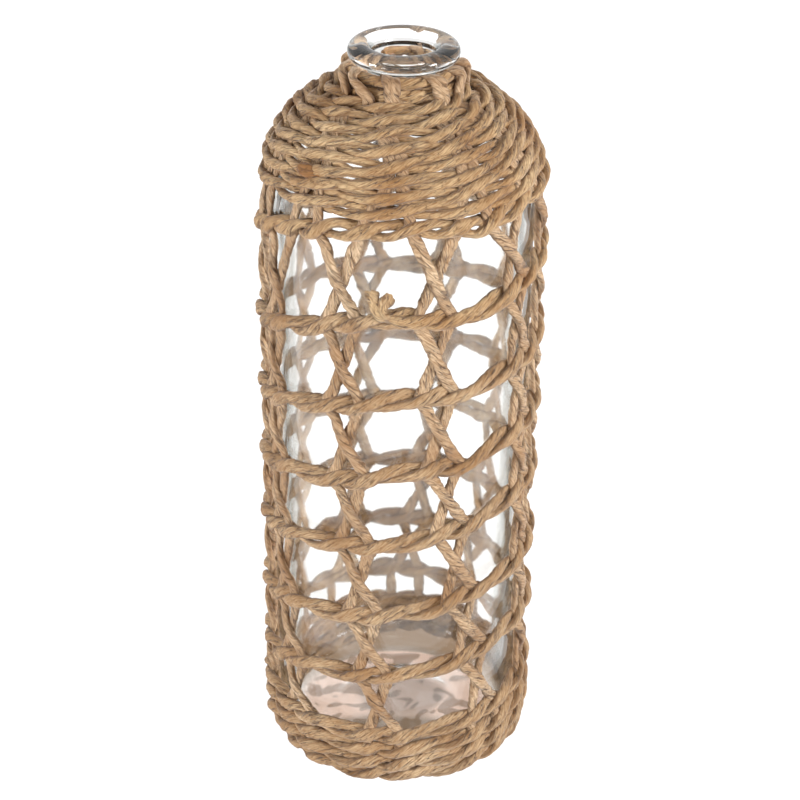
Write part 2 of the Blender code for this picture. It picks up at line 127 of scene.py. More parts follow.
# Stakes: places round the vase in degrees, chosen from the front round to the left
NECK_ANGLES = (-77.0, -49.0, -16.0, 30.0, 56.5, 83.5, 123.0, 163.0, 203.0, 243.0)
STRIP_ANGLES = (-69.0, -40.0, -3.0, 31.0, 62.0, 98.0, 136.0, 175.0, 213.0, 252.0)
COLUMN_TOP_ANGLES = (-57.0, -25.0, 13.0, 45.5, 80.0, 117.0, 156.0, 194.0, 233.0, 270.0)
COLUMN_FOOT_ANGLES = (-48.5, -5.0, 43.0, 78.5, 110.0, 143.0, 176.0, 209.0, 243.0, 276.0)
COLUMN_BOWS = (-9.0, 0.0, 0.0, 10.5, 5.0, 0.0, 0.0, 0.0, 0.0, -4.0)
COLUMN_BOW_POWER = 0.6
NET_START_ANGLE = 50.0
FIRST_CROSSING_TURN = 0.3
TOP_SPREAD = 9.5
NET_SPREAD = 7.2
STRIP_SHARE = 0.5
PARTING_SHARE = 0.6

# Paper cord: a flat paper strip, twisted, then pressed flat again by the weaving
RING_POINTS = 20
RING_SPACING = 0.0006
STAKE_WIDTH = 0.0043
STAKE_THICKNESS = 0.0024
STAKE_REST_LIFT = 0.0013  # middle of a leg above the glass inside a cell
STAKE_THREAD_LIFT = 0.0025  # between the front and the back strand of a row
STAKE_CROSSING_LIFT = 0.0034
STAKE_PRESSED = 0.80  # of its thickness, where a row holds it
STAKE_PITCH_HALF = 0.0021

# Strands of the weaver: each first number is for the close rows, and the second for the open net
STRAND_DEPTH = (0.0012, 0.0015)  # each strand swings this far in and out of the row's middle
STRAND_SWING = (0.0015, 0.0018)  # and this far up and down
STRAND_WIDTH = (0.0040, 0.0050)
STRAND_THICKNESS = (0.0033, 0.0028)
STRAND_NARROW = (0.68, 0.76)  # of its width, where the two strands change places
STRAND_LEAN = (0.75, 0.5)  # radians that a strand's flat face leans up or down between two legs
ROW_ROOM = (0.0066, 0.0120)  # distance to the next row
CLOSE_PITCH = 0.0047  # distance between rows that the close rows' numbers are for
FULLNESS = (0.8, 1.3)  # least and most of those numbers, where the rows are closer or wider
STRAND_BEHIND = 0.76  # of its thickness, where a strand is pressed against the glass
ROW_WANDER = (0.22, 0.0005)  # turns in a wave, and its size
STRAND_WANDER = (0.040, 0.0003)  # length of a wave, and its size
END_RISE = 0.0050  # how far the weaver's last end is tucked up behind the row above it
END_RISE_TURNS = 0.14
TUCKED_DEPTH = 0.0009
TUCKED_LIFT = 0.0021

# Creases and crumples: a wander is a wave's length and size, and angles are radians round the cord
SECTION_POWER = 2.0  # makes the cord's section an ellipse
WIDTH_WANDER = (0.019, 0.11)
THICKNESS_WANDER = (0.016, 0.10)
ROLL_WANDER = (0.024, 0.20)
CREASE_WANDER = (0.02, 0.35)
DEPTH_WANDER = (0.012, 0.6)
CREASE = (0.026, 0.17)  # length of cord in which it goes once round, and depth
STAKE_CREASE = (0.017, 0.26)
CREASE_MEAN = 0.75  # of that depth
PRESSED_POWER = 3  # the thinner a cord is pressed, the shallower its creases
FOLD_COUNT = 2
FOLD_SPREAD = 0.5
VALLEY_WIDTH = 0.30
FULL_SHADE = 0.2  # depth of a crease that gets the full painted shade
RIDGE_HEIGHT = 0.4  # of the crease that it lies beside
RIDGE_AWAY = 0.6
RIDGE_WIDTH = 0.5
CRUMPLE_WAVES = 9
CRUMPLE_LENGTH = (0.004, 0.016)
CRUMPLE_LOBES = (1, 5)
CRUMPLE_DEPTH = 0.00022
CRUMPLE_VALLEY = 0.35
CRUMPLE_SWELL = 0.25
# Share of the full painted shade at the bottom of a crumple's valley
CRUMPLE_SHADE = 0.8
EDGE_SHADE = 0.75  # painted shade on the flattened cord's two edges, as a share of a full crease
EDGE_POWER = 6
END_TAPER = 0.0010
END_SIZE = 0.85
END_GAIN = 0.15  # from the cut end to the full cord
RAGGED_CUT = 0.0006  # how far the cut end of a cord is from straight
RAGGED_TEETH = 3

# Collar
COLLAR_TURNS = 2
COLLAR_STATIONS = 700
COLLAR_ROW_WIDTH = 0.0040
COLLAR_ROW_PITCH = 0.0041
COLLAR_TOP_DROP = 0.0021
COLLAR_START_DEGREES = 180.0
COLLAR_TAIL = 0.08  # turns that its first end reaches on beyond the start
COLLAR_CLIMB_SHARE = 0.25
COLLAR_THICKNESS = 0.0034
COLLAR_REST_LIFT = 0.0024
COLLAR_LOOP_LIFT = 0.0030  # where a leg comes up between the collar and the neck
COLLAR_LOOP_DEGREES = 13.0
LOOP_WIDTH = 0.0053
LOOP_THICKNESS = 0.0024
LOOP_PRESSED = 0.0013  # its thickness between the collar and the neck
LOOP_RISE = 0.0012
LIP_ROOM = 0.0004
LOOP_SLANTS = (12.0, 22.0, 0.0, 6.0, -6.0, 0.0, 4.0, 0.0, -4.0, 5.0)  # degrees to the right on the way down
LOOP_SLACKS = (0.0002, 0.0, 0.0, 0.0, 0.0003, 0.0002, 0.0003, 0.0, 0.0, 0.0003)  # how far each stands off
# Round the fold: degrees, and how far it has come from the left leg (-1) to the right leg (1)
LOOP_FOLD = ((135.0, -0.2), (90.0, 0.3), (45.0, 0.8))

# Each cord's unevenness is drawn from a seed of its own
ROW_SEED = 31
WINDING_SEEDS = {"shoulder_winding": 100, "net_winding": 200, "foot_band_winding": 300}
WINDING_SEED_STEP = 50
CUT_END_SEED = 80
STAKE_SEED = 400
STAKE_SEED_STEP = 40
COLLAR_SEED = 900


def linear(colour):
    """An sRGB hex colour as linear numbers."""
    parts = [int(colour[index:index + 2], 16) / 255 for index in (0, 2, 4)]
    return [part / 12.92 if part <= 0.04045 else ((part + 0.055) / 1.055) ** 2.4 for part in parts] + [1.0]


def add_node(tree, kind, inputs=(), **settings):
    """One shader node with its settings. An input is a number, a hex colour, or a socket or node to link."""
    node = tree.nodes.new("ShaderNode" + kind)
    for name, value in settings.items():
        setattr(node, name, value)
    if not isinstance(inputs, dict):
        inputs = dict(enumerate(inputs))
    for key, value in inputs.items():
        if isinstance(value, str):
            value = linear(value)
        elif isinstance(value, bpy.types.Node):
            value = next(socket for socket in value.outputs if socket.enabled)
        if isinstance(value, bpy.types.NodeSocket):
            tree.links.new(value, node.inputs[key])
        else:
            node.inputs[key].default_value = value
    return node


def new_material(name):
    material = bpy.data.materials.new(name)
    material.use_nodes = True
    material.node_tree.nodes.clear()
    return material, partial(add_node, material.node_tree)


def new_object(name, data):
    item = bpy.data.objects.new(name, data)
    bpy.context.scene.collection.objects.link(item)
    return item


# Camera
def place_camera():
    lens = bpy.data.cameras.new("photo_camera")
    lens.sensor_width = CAMERA_SENSOR
    lens.lens = CAMERA_LENS
    lens.clip_start = 0.01
    lens.clip_end = 20.0
    camera = new_object("photo_camera", lens)
    tilt = Matrix.Rotation(math.radians(CAMERA_TILT), 3, "X")
    roll = Matrix.Rotation(math.radians(CAMERA_ROLL), 3, "Z")
    camera.location = CAMERA_PLACE
    camera.rotation_euler = (tilt @ roll).to_euler()
    bpy.context.scene.camera = camera


# Shape of the glass
def arc(centre_radius, centre_height, size, first, last, steps):
    """Points (radius, height) on a round, with angles from +radius towards +height."""
    angles = np.linspace(first, last, steps + 1)
    return [(centre_radius + size * math.cos(a), centre_height + size * math.sin(a)) for a in angles]


def shoulder_curve(offset, steps):
    """The shoulder from its top edge out and down to the body, moved in by an offset."""
    reach = BODY_RADIUS - SHOULDER_EDGE_RADIUS - offset
    rise = SHOULDER_RISE - offset
    power = 2 / SHOULDER_FULLNESS
    points = []
    for angle in np.linspace(QUARTER, 0.0, steps + 1):
        radius = SHOULDER_EDGE_RADIUS + reach * max(math.cos(angle), 0.0) ** power
        points.append((radius, SHOULDER_BASE + rise * math.sin(angle) ** power))
    return points


def lip_bead(steps):
    """The lip in section, from the bore over the top and round to the neck."""
    outer = NECK_RADIUS + LIP_OVERHANG
    middle = (BORE_RADIUS + outer) / 2
    power = 2 / LIP_FULLNESS
    points = []
    for angle in np.linspace(math.pi, -QUARTER, steps + 1):
        across, up = math.cos(angle), math.sin(angle)
        radius = middle + (outer - BORE_RADIUS) / 2 * math.copysign(abs(across) ** power, across)
        height = BOTTLE_HEIGHT + LIP_THICKNESS / 2 * (math.copysign(abs(up) ** power, up) - 1)
        points.append((radius, height))
    return points


def cord_side(fillet_steps, shoulder_steps, heel_steps):
    """The outside of the glass that carries cord, from under the lip to the foot."""
    points = [(NECK_RADIUS, LIP_BOTTOM)]
    points += arc(SHOULDER_EDGE_RADIUS, SHOULDER_TOP + NECK_FILLET, NECK_FILLET, math.pi, 1.5 * math.pi,
                  fillet_steps)
    points += shoulder_curve(0.0, shoulder_steps)[1:]
    points += arc(BODY_RADIUS - HEEL_RADIUS, HEEL_RADIUS, HEEL_RADIUS, 0.0, -QUARTER, heel_steps)
    return points


def bottle_outline():
    """The wall in section: up the inside, over the lip, down the outside, under the foot."""
    inner_heel = HEEL_RADIUS - WALL
    inner_fillet = SHOULDER_EDGE_RADIUS - BORE_RADIUS
    foot_inner = BODY_RADIUS - HEEL_RADIUS - FOOT_RING_WIDTH
    points = [(0.0, FLOOR_HEIGHT)]
    points += arc(BODY_RADIUS - HEEL_RADIUS, FLOOR_HEIGHT + inner_heel, inner_heel, -QUARTER, 0.0,
                  INNER_HEEL_STEPS)
    points += reversed(shoulder_curve(WALL, INNER_SHOULDER_STEPS))
    points += arc(SHOULDER_EDGE_RADIUS, SHOULDER_TOP - WALL + inner_fillet, inner_fillet, 1.5 * math.pi,
                  math.pi, INNER_NECK_STEPS)[1:]
    points += lip_bead(LIP_STEPS)
    points += cord_side(*OUTSIDE_STEPS)[1:]
    points.append((foot_inner, 0.0))
    for share in np.linspace(1 / PUNT_STEPS, 1.0, PUNT_STEPS):
        points.append((foot_inner * (1 - share), PUNT_RISE * math.sin(share * QUARTER) ** PUNT_FULLNESS))
    return points


def glass_bottle(material):
    """The outline drawn point by point in edit mode and spun round the axis."""
    outline = bottle_outline()
    bpy.ops.object.select_all(action="DESELECT")
    bpy.ops.mesh.primitive_plane_add(size=WALL, location=(0.0, 0.0, 0.0))
    bottle = bpy.context.object
    bottle.name = "glass_bottle_clear"
    bpy.ops.object.mode_set(mode="EDIT")
    bpy.ops.mesh.select_all(action="SELECT")
    bpy.ops.mesh.merge(type="CENTER")
    place = outline[0]
    bpy.ops.transform.translate(value=(place[0], 0.0, place[1]))
    for radius, height in outline[1:]:
        if math.dist((radius, height), place) < SAME_PLACE:
            continue
        bpy.ops.mesh.extrude_vertices_move(
            TRANSFORM_OT_translate={"value": (radius - place[0], 0.0, height - place[1])})
        place = (radius, height)
    bpy.ops.mesh.select_all(action="SELECT")
    bpy.ops.mesh.spin(steps=BOTTLE_STEPS, angle=FULL_TURN, center=(0.0, 0.0, 0.0), axis=(0.0, 0.0, 1.0))
    bpy.ops.mesh.select_all(action="SELECT")
    bpy.ops.mesh.remove_doubles(threshold=SAME_PLACE / 2)
    bpy.ops.mesh.normals_make_consistent(inside=False)
    bpy.ops.object.mode_set(mode="OBJECT")
    bpy.ops.object.shade_smooth()
    bottle.data.materials.append(material)
    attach(bottle, "root")
    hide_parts("glass_bottle")


# Places on the glass
MEASURED_STEPS = (24, 96, 48)
SIDE_SAMPLES = 1600


def measured_side():
    """Distances down the glass, and the radius, height and outward direction at each."""
    side = np.array(cord_side(*MEASURED_STEPS))
    steps = np.diff(side, axis=0)
    runs = np.concatenate([[0.0], np.cumsum(np.hypot(steps[:, 0], steps[:, 1]))])
    even = np.linspace(0.0, runs[-1], SIDE_SAMPLES)
    radii = np.interp(even, runs, side[:, 0])
    heights = np.interp(even, runs, side[:, 1])
    return even, (radii, heights, -np.gradient(heights, even), np.gradient(radii, even))


SIDE_RUNS, SIDE = measured_side()
SIDE_RADII, SIDE_HEIGHTS = SIDE[:2]


def around(radius, height, angle):
    return np.stack([radius * np.sin(angle), -radius * np.cos(angle), height + 0 * angle], axis=-1)


def on_glass(run, angle, lift):
    """Places at a lift above the glass, and the outward directions there."""
    radius, height, out_radius, out_height = (np.interp(run, SIDE_RUNS, values) for values in SIDE)
    places = around(radius + out_radius * lift, height + out_height * lift, angle)
    return places, around(out_radius, out_height, angle)


def run_at_radius(radius):
    """The first distance down the glass at which it is this wide."""
    return SIDE_RUNS[np.argmax(SIDE_RADII >= radius)]


SHOULDER_EDGE_RUN = run_at_radius(SHOULDER_EDGE_RADIUS)


def run_at_height(height):
    """For places below the shoulder's top edge, where the glass only falls."""
    below = SIDE_RUNS > SHOULDER_EDGE_RUN
    return float(np.interp(-height, -SIDE_HEIGHTS[below], SIDE_RUNS[below]))


def smooth(share):
    share = np.clip(share, 0.0, 1.0)
    return share * share * (3 - 2 * share)


def mix(first, second, share):
    return first + (second - first) * share


def turn_knots():
    """Distance down the glass at the front for whole turns of the weaver."""
    net_top = SHOULDER_BASE + NET_TOP_RISE
    knots = {-SHOULDER_TURNS: run_at_radius(SHOULDER_START_RADIUS)}
    for turn, radius in zip(TOP_TURNS, TOP_RADII):
        knots[turn] = run_at_radius(radius)
    knots[0] = run_at_height(SHOULDER_BASE + SHOULDER_END_RISE)
    for row, share in enumerate(NET_ROW_SHARES):
        knots[row + 1] = run_at_height(net_top - (net_top - BAND_TOP_HEIGHT) * share)
    knots[BAND_END_TURN] = run_at_height(HEEL_RADIUS) + math.radians(HEEL_WRAP_DEGREES) * HEEL_RADIUS
    turns = sorted(knots)
    return np.array(turns, float), np.array([knots[turn] for turn in turns])


KNOT_TURNS, KNOT_RUNS = turn_knots()


def bow_knots():
    """Turns and heights of the net rows' bows, in the order of the weaver."""
    knots = []
    for row, bows in enumerate(ROW_BOWS):
        knots += [(row + 1 - angle / 360, bow / TO_MM) for angle, bow in zip(BOW_ANGLES, bows)]
    return np.array(knots).T


BOW_TURNS, BOWS = bow_knots()


def net_bow(turn):
    index = np.clip(np.searchsorted(BOW_TURNS, turn) - 1, 0, len(BOW_TURNS) - 2)
    share = (turn - BOW_TURNS[index]) / (BOW_TURNS[index + 1] - BOW_TURNS[index])
    return mix(BOWS[index], BOWS[index + 1], smooth(share))


def row_run(turn):
    """Distance down the glass of the weaver's middle."""
    down_net = np.clip((turn - 1) / (NET_TURNS - 1), 0.0, 1.0)
    fade = smooth((turn - TILT_START_TURN) / TILT_START_TURNS) * (1 - smooth(turn - NET_TURNS))
    high = math.radians(TILT_HIGH_SIDE)
    tilt = mix(TILT_TOP, TILT_FOOT, down_net) * fade * (np.cos(-FULL_TURN * turn - high) - math.cos(high))
    end_pitch = (KNOT_RUNS[-1] - KNOT_RUNS[-2]) / (KNOT_TURNS[-1] - KNOT_TURNS[-2])
    beyond = np.maximum(turn - KNOT_TURNS[-1], 0.0) * end_pitch
    return np.interp(turn, KNOT_TURNS, KNOT_RUNS) - tilt - net_bow(turn) + beyond


def row_room(turn):
    """Distance to the nearer neighbour row."""
    return np.minimum(row_run(turn + 1) - row_run(turn), row_run(turn) - row_run(turn - 1))


def openness(turn):
    """0 where the rows touch and 1 in the open net."""
    return smooth((row_room(turn) - ROW_ROOM[0]) / (ROW_ROOM[1] - ROW_ROOM[0]))


# Legs of the stakes
def column_angle(column, share):
    bow = COLUMN_BOWS[column] * math.sin(math.pi * share ** COLUMN_BOW_POWER)
    return mix(COLUMN_TOP_ANGLES[column], COLUMN_FOOT_ANGLES[column], share * share) + bow


def strip_angle(stake, share):
    """Where the two legs of a folded stake lie side by side on the shoulder, in degrees."""
    return mix(NECK_ANGLES[stake], STRIP_ANGLES[stake], smooth(share / STRIP_SHARE))


def first_net_row(column):
    """The row that the column's net starts at, and the whole turns taken off its angle."""
    wrapped = COLUMN_TOP_ANGLES[column]
    while wrapped > NET_START_ANGLE:
        wrapped -= 360
    return math.ceil(FIRST_CROSSING_TURN + wrapped / 360), wrapped - COLUMN_TOP_ANGLES[column]


def leg_level(column, start_side, level):
    """Turn of the weaver, angle and side of the column where a leg meets a net row."""
    first_row, behind = first_net_row(column)
    spread = TOP_SPREAD if level == 0 else NET_SPREAD
    side = start_side if level % 2 == 0 else -start_side
    degrees = column_angle(column, level / NET_TURNS) + side * spread + behind
    return first_row + level - degrees / 360, math.radians(degrees), side


STRIP_GAP = 0.02  # turns that a strip keeps before the first leg
TWIST_STEP = 0.002  # turns
TWIST_ENDS = (0.1, 0.5)  # turns that the table goes on beyond the weaver's two ends
TWIST_WINDOW = 19  # steps that the twist is evened out over


def twist_table():
    """Half twists of the weaver by turn: one over each strip of the shoulder, one over each leg below."""
    knots = []
    for column in range(len(COLUMN_TOP_ANGLES)):
        for side in (-1, 1):
            for level in range(NET_TURNS + 1):
                knots.append(leg_level(column, side, level)[0])
            for row in range(1, math.ceil(BAND_TURNS) + 2):
                knots.append(leg_level(column, side, NET_TURNS)[0] + row)
    first_leg = min(knots)
    strip_length = run_at_height(SHOULDER_BASE) - SHOULDER_EDGE_RUN
    for stake in range(len(STRIP_ANGLES)):
        for row in range(math.ceil(START_TURN), 2):
            share = (row_run(row - STRIP_ANGLES[stake] / 360) - SHOULDER_EDGE_RUN) / strip_length
            turn = row - strip_angle(stake, share) / 360
            if turn < first_leg - STRIP_GAP:
                knots.append(turn)
    knots = np.sort(knots)
    even = np.arange(START_TURN - TWIST_ENDS[0], BAND_END_TURN + TWIST_ENDS[1], TWIST_STEP)
    half_twists = np.interp(even, knots, np.arange(len(knots)))
    window = np.hanning(TWIST_WINDOW)
    inside = np.convolve(half_twists, window / window.sum(), mode="valid")
    margin = (len(even) - len(inside)) // 2
    return even[margin:-margin], inside


TWIST_TURNS, HALF_TWISTS = twist_table()


# Cord meshes
WANDER_WAVES = (0.55, 0.8, 1.0, 1.45, 2.1)  # lengths, as shares of the wavelength asked for
WANDER_CREST = 2.5  # about what their sum rises to


def wander(along, seed, wavelength, size):
    """A gentle seeded wandering along a cord, made of a few waves."""
    generator = np.random.default_rng(seed)
    total = np.zeros_like(along)
    for factor in WANDER_WAVES:
        total += np.sin(FULL_TURN * (along / (wavelength * factor) + generator.random()))
    return total * size / WANDER_CREST


def distances(points):
    steps = np.linalg.norm(np.diff(points, axis=0), axis=1)
    return np.concatenate([[0.0], np.cumsum(steps)])


def resampled(along, even, values):
    values = np.asarray(values, float)
    if values.ndim == 1:
        return np.interp(even, along, values)
    return np.stack([np.interp(even, along, column) for column in values.T], axis=-1)


def unit(vectors):
    return vectors / np.linalg.norm(vectors, axis=-1, keepdims=True)


def crumples(even, ring, seed):
    """How deep the paper is pushed in: sharp valleys where a few slanting waves cancel out."""
    generator = np.random.default_rng(seed)
    total = np.zeros((len(even), len(ring)))
    for index in range(CRUMPLE_WAVES):
        length = mix(*CRUMPLE_LENGTH, generator.random())
        # Every third wave leans the other way
        lobes = generator.integers(*CRUMPLE_LOBES) * (1 if index % 3 else -1)
        start = generator.random()
        total += np.sin(FULL_TURN * (even[:, None] / length + start) + lobes * ring[None, :])
    total /= math.sqrt(CRUMPLE_WAVES / 2)
    return CRUMPLE_DEPTH * (np.exp(-(total / CRUMPLE_VALLEY) ** 2) - CRUMPLE_SWELL * np.abs(total))


def cord_tube(points, outward, width, thickness, roll, seed, crease=CREASE):
    """Vertices of one twisted, flattened paper cord, how much painted shade each gets from its creases,
    edges and crumples, and its rings' runs.
    """
    along = distances(points)
    rings = int(along[-1] / RING_SPACING)
    even = np.linspace(0.0, along[-1], rings)
    tangent = unit(resampled(along, even, unit(np.gradient(points, along, axis=0))))
    outward = resampled(along, even, outward)
    width = resampled(along, even, width) * (1 + wander(even, seed, *WIDTH_WANDER))
    thickness = resampled(along, even, thickness) * (1 + wander(even, seed + 1, *THICKNESS_WANDER))
    roll = np.arctan2(resampled(along, even, np.sin(2 * roll)), resampled(along, even, np.cos(2 * roll))) / 2
    roll = roll + wander(even, seed + 2, *ROLL_WANDER)
    points = resampled(along, even, points)
    side = unit(np.cross(tangent, outward))
    face = np.cross(side, tangent)

    generator = np.random.default_rng(seed + 3)
    ring = np.arange(RING_POINTS) / RING_POINTS * FULL_TURN
    turned = ring[None, :] - roll[:, None]
    across = np.abs(np.cos(turned) / (width[:, None] / 2)) ** SECTION_POWER
    up = np.abs(np.sin(turned) / (thickness[:, None] / 2)) ** SECTION_POWER
    reach = (across + up) ** (-1 / SECTION_POWER)
    painted_shade = np.zeros_like(reach)
    for fold in range(FOLD_COUNT):
        start = FULL_TURN * (fold + FOLD_SPREAD * generator.random()) / FOLD_COUNT
        line = start + FULL_TURN * even / crease[0] + wander(even, seed + 11 + fold, *CREASE_WANDER)
        away = (ring[None, :] - line[:, None] + math.pi) % FULL_TURN - math.pi
        depth = crease[1] * (CREASE_MEAN + wander(even, seed + 21 + fold, *DEPTH_WANDER))
        depth = depth * (thickness / thickness.max()) ** PRESSED_POWER
        valley = np.exp(-(away / VALLEY_WIDTH) ** 2)
        # Painted shade in the crease's valley, darker the deeper the crease
        painted_shade = np.maximum(painted_shade, valley * np.clip(depth / FULL_SHADE, 0.0, 1.0)[:, None])
        reach -= reach * depth[:, None] * valley
        ridge = np.exp(-((away - RIDGE_AWAY) / RIDGE_WIDTH) ** 2)
        reach += reach * RIDGE_HEIGHT * depth[:, None] * ridge
    # Painted shade along the flattened cord's two edges
    painted_shade = np.maximum(painted_shade, EDGE_SHADE * np.abs(np.cos(turned)) ** EDGE_POWER)
    pushed_in = crumples(even, ring, seed + 31)
    # Painted shade in the crumples' valleys
    painted_shade = np.maximum(painted_shade, CRUMPLE_SHADE * pushed_in / CRUMPLE_DEPTH)
    reach -= pushed_in
    ends = np.minimum(even, even[-1] - even) / END_TAPER
    reach *= (END_SIZE + END_GAIN * np.clip(ends, 0.0, 1.0))[:, None]
    vertices = (points[:, None, :] + side[:, None, :] * (np.cos(ring) * reach)[..., None]
                + face[:, None, :] * (np.sin(ring) * reach)[..., None])
    for end in (0, -1):
        vertices[end] += tangent[end] * (RAGGED_CUT * np.sin(RAGGED_TEETH * ring + seed + end))[:, None]
    return vertices, np.clip(painted_shade, 0.0, 1.0), even


def cord_object(name, tube, material, nodes):
    """A closed mesh of one cord, with a map of length in mm and turn round, and the painted shade of its
    creases, edges and crumples.
    """
    vertices, painted_shade, even = tube
    rings = len(even)
    index = np.arange(rings * RING_POINTS).reshape(rings, RING_POINTS)
    following = np.roll(index, -1, axis=1)
    quads = np.stack([index[:-1], following[:-1], following[1:], index[1:]], axis=-1)
    turn = np.arange(RING_POINTS + 1) / RING_POINTS
    length = even * TO_MM
    low = np.broadcast_to(length[:-1, None], (rings - 1, RING_POINTS))
    high = np.broadcast_to(length[1:, None], low.shape)
    left = np.broadcast_to(turn[None, :-1], low.shape)
    right = np.broadcast_to(turn[None, 1:], low.shape)
    faces = quads.reshape(-1, 4).tolist()
    maps = [np.stack([low, left, low, right, high, right, high, left], axis=-1).reshape(-1, 2)]
    for cut, at in ((index[0][::-1], length[0]), (index[-1], length[-1])):
        faces.append(cut.tolist())
        maps.append(np.tile([at, 0.5], (RING_POINTS, 1)))
    mesh = bpy.data.meshes.new(name)
    mesh.from_pydata(vertices.reshape(-1, 3).tolist(), [], faces)
    layer = mesh.uv_layers.new(name="cord_run")
    layer.uv.foreach_set("vector", np.concatenate(maps).astype(np.float32).ravel())
    # Painted shade of the creases, edges and crumples, which darkens the paper's colour
    shade_layer = mesh.attributes.new("painted_crease_shade", "FLOAT", "POINT")
    shade_layer.data.foreach_set("value", painted_shade.astype(np.float32).ravel())
    mesh.materials.append(material)
    mesh.shade_smooth()
    for cut in (-2, -1):
        mesh.polygons[cut].use_smooth = False
    cord = new_object(name, mesh)
    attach(cord, "root")
    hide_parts(*nodes)


# Twined windings
STATIONS_PER_TURN = 480


def strand_stations(turns, strand, seed):
    """Distance down the glass, angle, lift, width, thickness and roll of one strand of the pair."""
    along = distances(on_glass(row_run(turns), -FULL_TURN * turns, 0.0 * turns)[0])
    open_share = openness(turns)
    fullness = np.clip(row_room(turns) / CLOSE_PITCH, *FULLNESS)
    half_twists = np.interp(turns, TWIST_TURNS, HALF_TWISTS) + strand
    phase = math.pi * half_twists
    tuck = smooth(turns - (BAND_END_TURN - 1))
    depth = mix(mix(*STRAND_DEPTH, open_share), TUCKED_DEPTH, tuck)
    swing = mix(STRAND_SWING[0] * fullness, STRAND_SWING[1], open_share)
    middle = mix(np.interp(turns, TOP_LIFT_TURNS, TOP_LIFTS), TUCKED_LIFT, tuck)
    uneven = wander(turns, ROW_SEED, *ROW_WANDER) + wander(along, seed + ROW_SEED, *STRAND_WANDER)
    tucked_up = END_RISE * smooth((turns - BAND_END_TURN) / END_RISE_TURNS + 1)
    run = row_run(turns) + swing * np.sin(phase) + uneven - tucked_up
    lift = middle + depth * np.cos(phase)
    pressed = np.cos(phase) ** 2
    narrow = mix(*STRAND_NARROW, open_share)
    width = mix(STRAND_WIDTH[0] * fullness, STRAND_WIDTH[1], open_share) * mix(narrow, 1.0, pressed)
    in_front = (1 + np.cos(phase)) / 2
    thickness = mix(*STRAND_THICKNESS, open_share) * mix(STRAND_BEHIND, 1.0, in_front)
    roll = mix(*STRAND_LEAN, open_share) * np.sin(phase)
    return np.stack([run, -FULL_TURN * turns, lift, width, thickness, roll], axis=-1)


def hidden_joint(turn, strand):
    """The turn nearest to this one at which the strand is behind its partner."""
    half_twists = np.interp(turn, TWIST_TURNS, HALF_TWISTS) + strand
    behind = 2 * round((half_twists - 1) / 2) + 1
    return float(np.interp(behind - strand, HALF_TWISTS, TWIST_TURNS))


def loose_end(stations, path):
    """Stations led on along the path of a tuft."""
    last = stations[-1]
    keys = [last]
    for degrees, *sizes, roll in path:
        height, lift, width = np.array(sizes) / TO_MM
        angle = math.radians(degrees)
        angle += round((last[1] - angle) / FULL_TURN) * FULL_TURN
        keys.append([run_at_height(height), angle, lift, width, TUFT_THICKNESS, roll])
    keys = np.array(keys)
    knots = distances(on_glass(*keys.T[:3])[0])
    even = np.arange(TUFT_SPACING, knots[-1], TUFT_SPACING)
    return np.concatenate([stations, resampled(knots, even, keys)])


def strand_tube(stations, seed):
    return cord_tube(*on_glass(*stations.T[:3]), *stations.T[3:], seed)


# Where the shoulder's two strands end they stand up from the second net row, pressed flat and cut:
# degrees, then height, lift and width in mm, and roll
TUFTS = (
    ((-5.0, 197.2, 4.6, 3.8, 0.1), (-7.8, 197.4, 5.2, 3.4, 0.2), (-9.4, 199.2, 5.6, 3.4, 0.3),
     (-9.8, 201.8, 5.8, 3.8, 0.2), (-10.0, 204.2, 6.2, 4.8, 0.0),
     (-10.4, 206.2, 6.8, 5.8, -0.2), (-10.8, 208.0, 7.2, 6.2, -0.3)),
    ((-2.5, 197.2, 4.4, 3.8, 0.0), (-5.6, 197.6, 5.2, 3.4, 0.2), (-7.0, 199.4, 5.6, 3.6, 0.3),
     (-6.6, 201.8, 6.0, 4.0, 0.2), (-5.4, 204.0, 6.6, 4.6, 0.1),
     (-4.2, 205.6, 7.2, 4.8, 0.1), (-3.6, 207.0, 7.6, 4.4, 0.1)),
)
TUFT_THICKNESS = 0.0010
TUFT_SPACING = 0.0008
# A stub of old brown paper stands out of the shoulder: degrees, then distance down the glass and lift in mm
CUT_END = ((-36.0, 43.0, 2.2), (-40.0, 43.1, 3.6), (-43.5, 42.9, 5.0), (-46.5, 42.5, 6.2))
CUT_END_WIDTH = 0.0046
CUT_END_THICKNESS = 0.0030
CUT_END_STATIONS = 30
SHOULDER_WINDING_END = 1.994
NET_WINDING_START = 1.985  # a little sooner, so that the splice overlaps


def windings(materials):
    for strand in (0, 1):
        joint = hidden_joint(1 + NET_TURNS, strand)
        spans = (("shoulder_winding", START_TURN, SHOULDER_WINDING_END),
                 ("net_winding", NET_WINDING_START, joint), ("foot_band_winding", joint, BAND_END_TURN))
        for name, first, last in spans:
            seed = WINDING_SEEDS[name] + WINDING_SEED_STEP * strand
            turns = np.linspace(first, last, int((last - first) * STATIONS_PER_TURN))
            stations = strand_stations(turns, strand, seed)
            if name == "shoulder_winding":
                stations = loose_end(stations, TUFTS[strand])
            cord_object(f"{name}_strand_{strand + 1}", strand_tube(stations, seed), materials[name], [name])


def cut_end(material):
    keys = np.array([(run / TO_MM, math.radians(degrees), lift / TO_MM) for degrees, run, lift in CUT_END])
    knots = distances(on_glass(*keys.T)[0])
    line = resampled(knots, np.linspace(0.0, knots[-1], CUT_END_STATIONS), keys)
    zero = 0 * line[:, :1]
    tube = strand_tube(np.hstack([line, zero + CUT_END_WIDTH, zero + CUT_END_THICKNESS, zero]), CUT_END_SEED)
    cord_object("shoulder_winding_cut_end", tube, material, ["shoulder_winding"])


# Stake cords
PATH_SPACING = 0.001
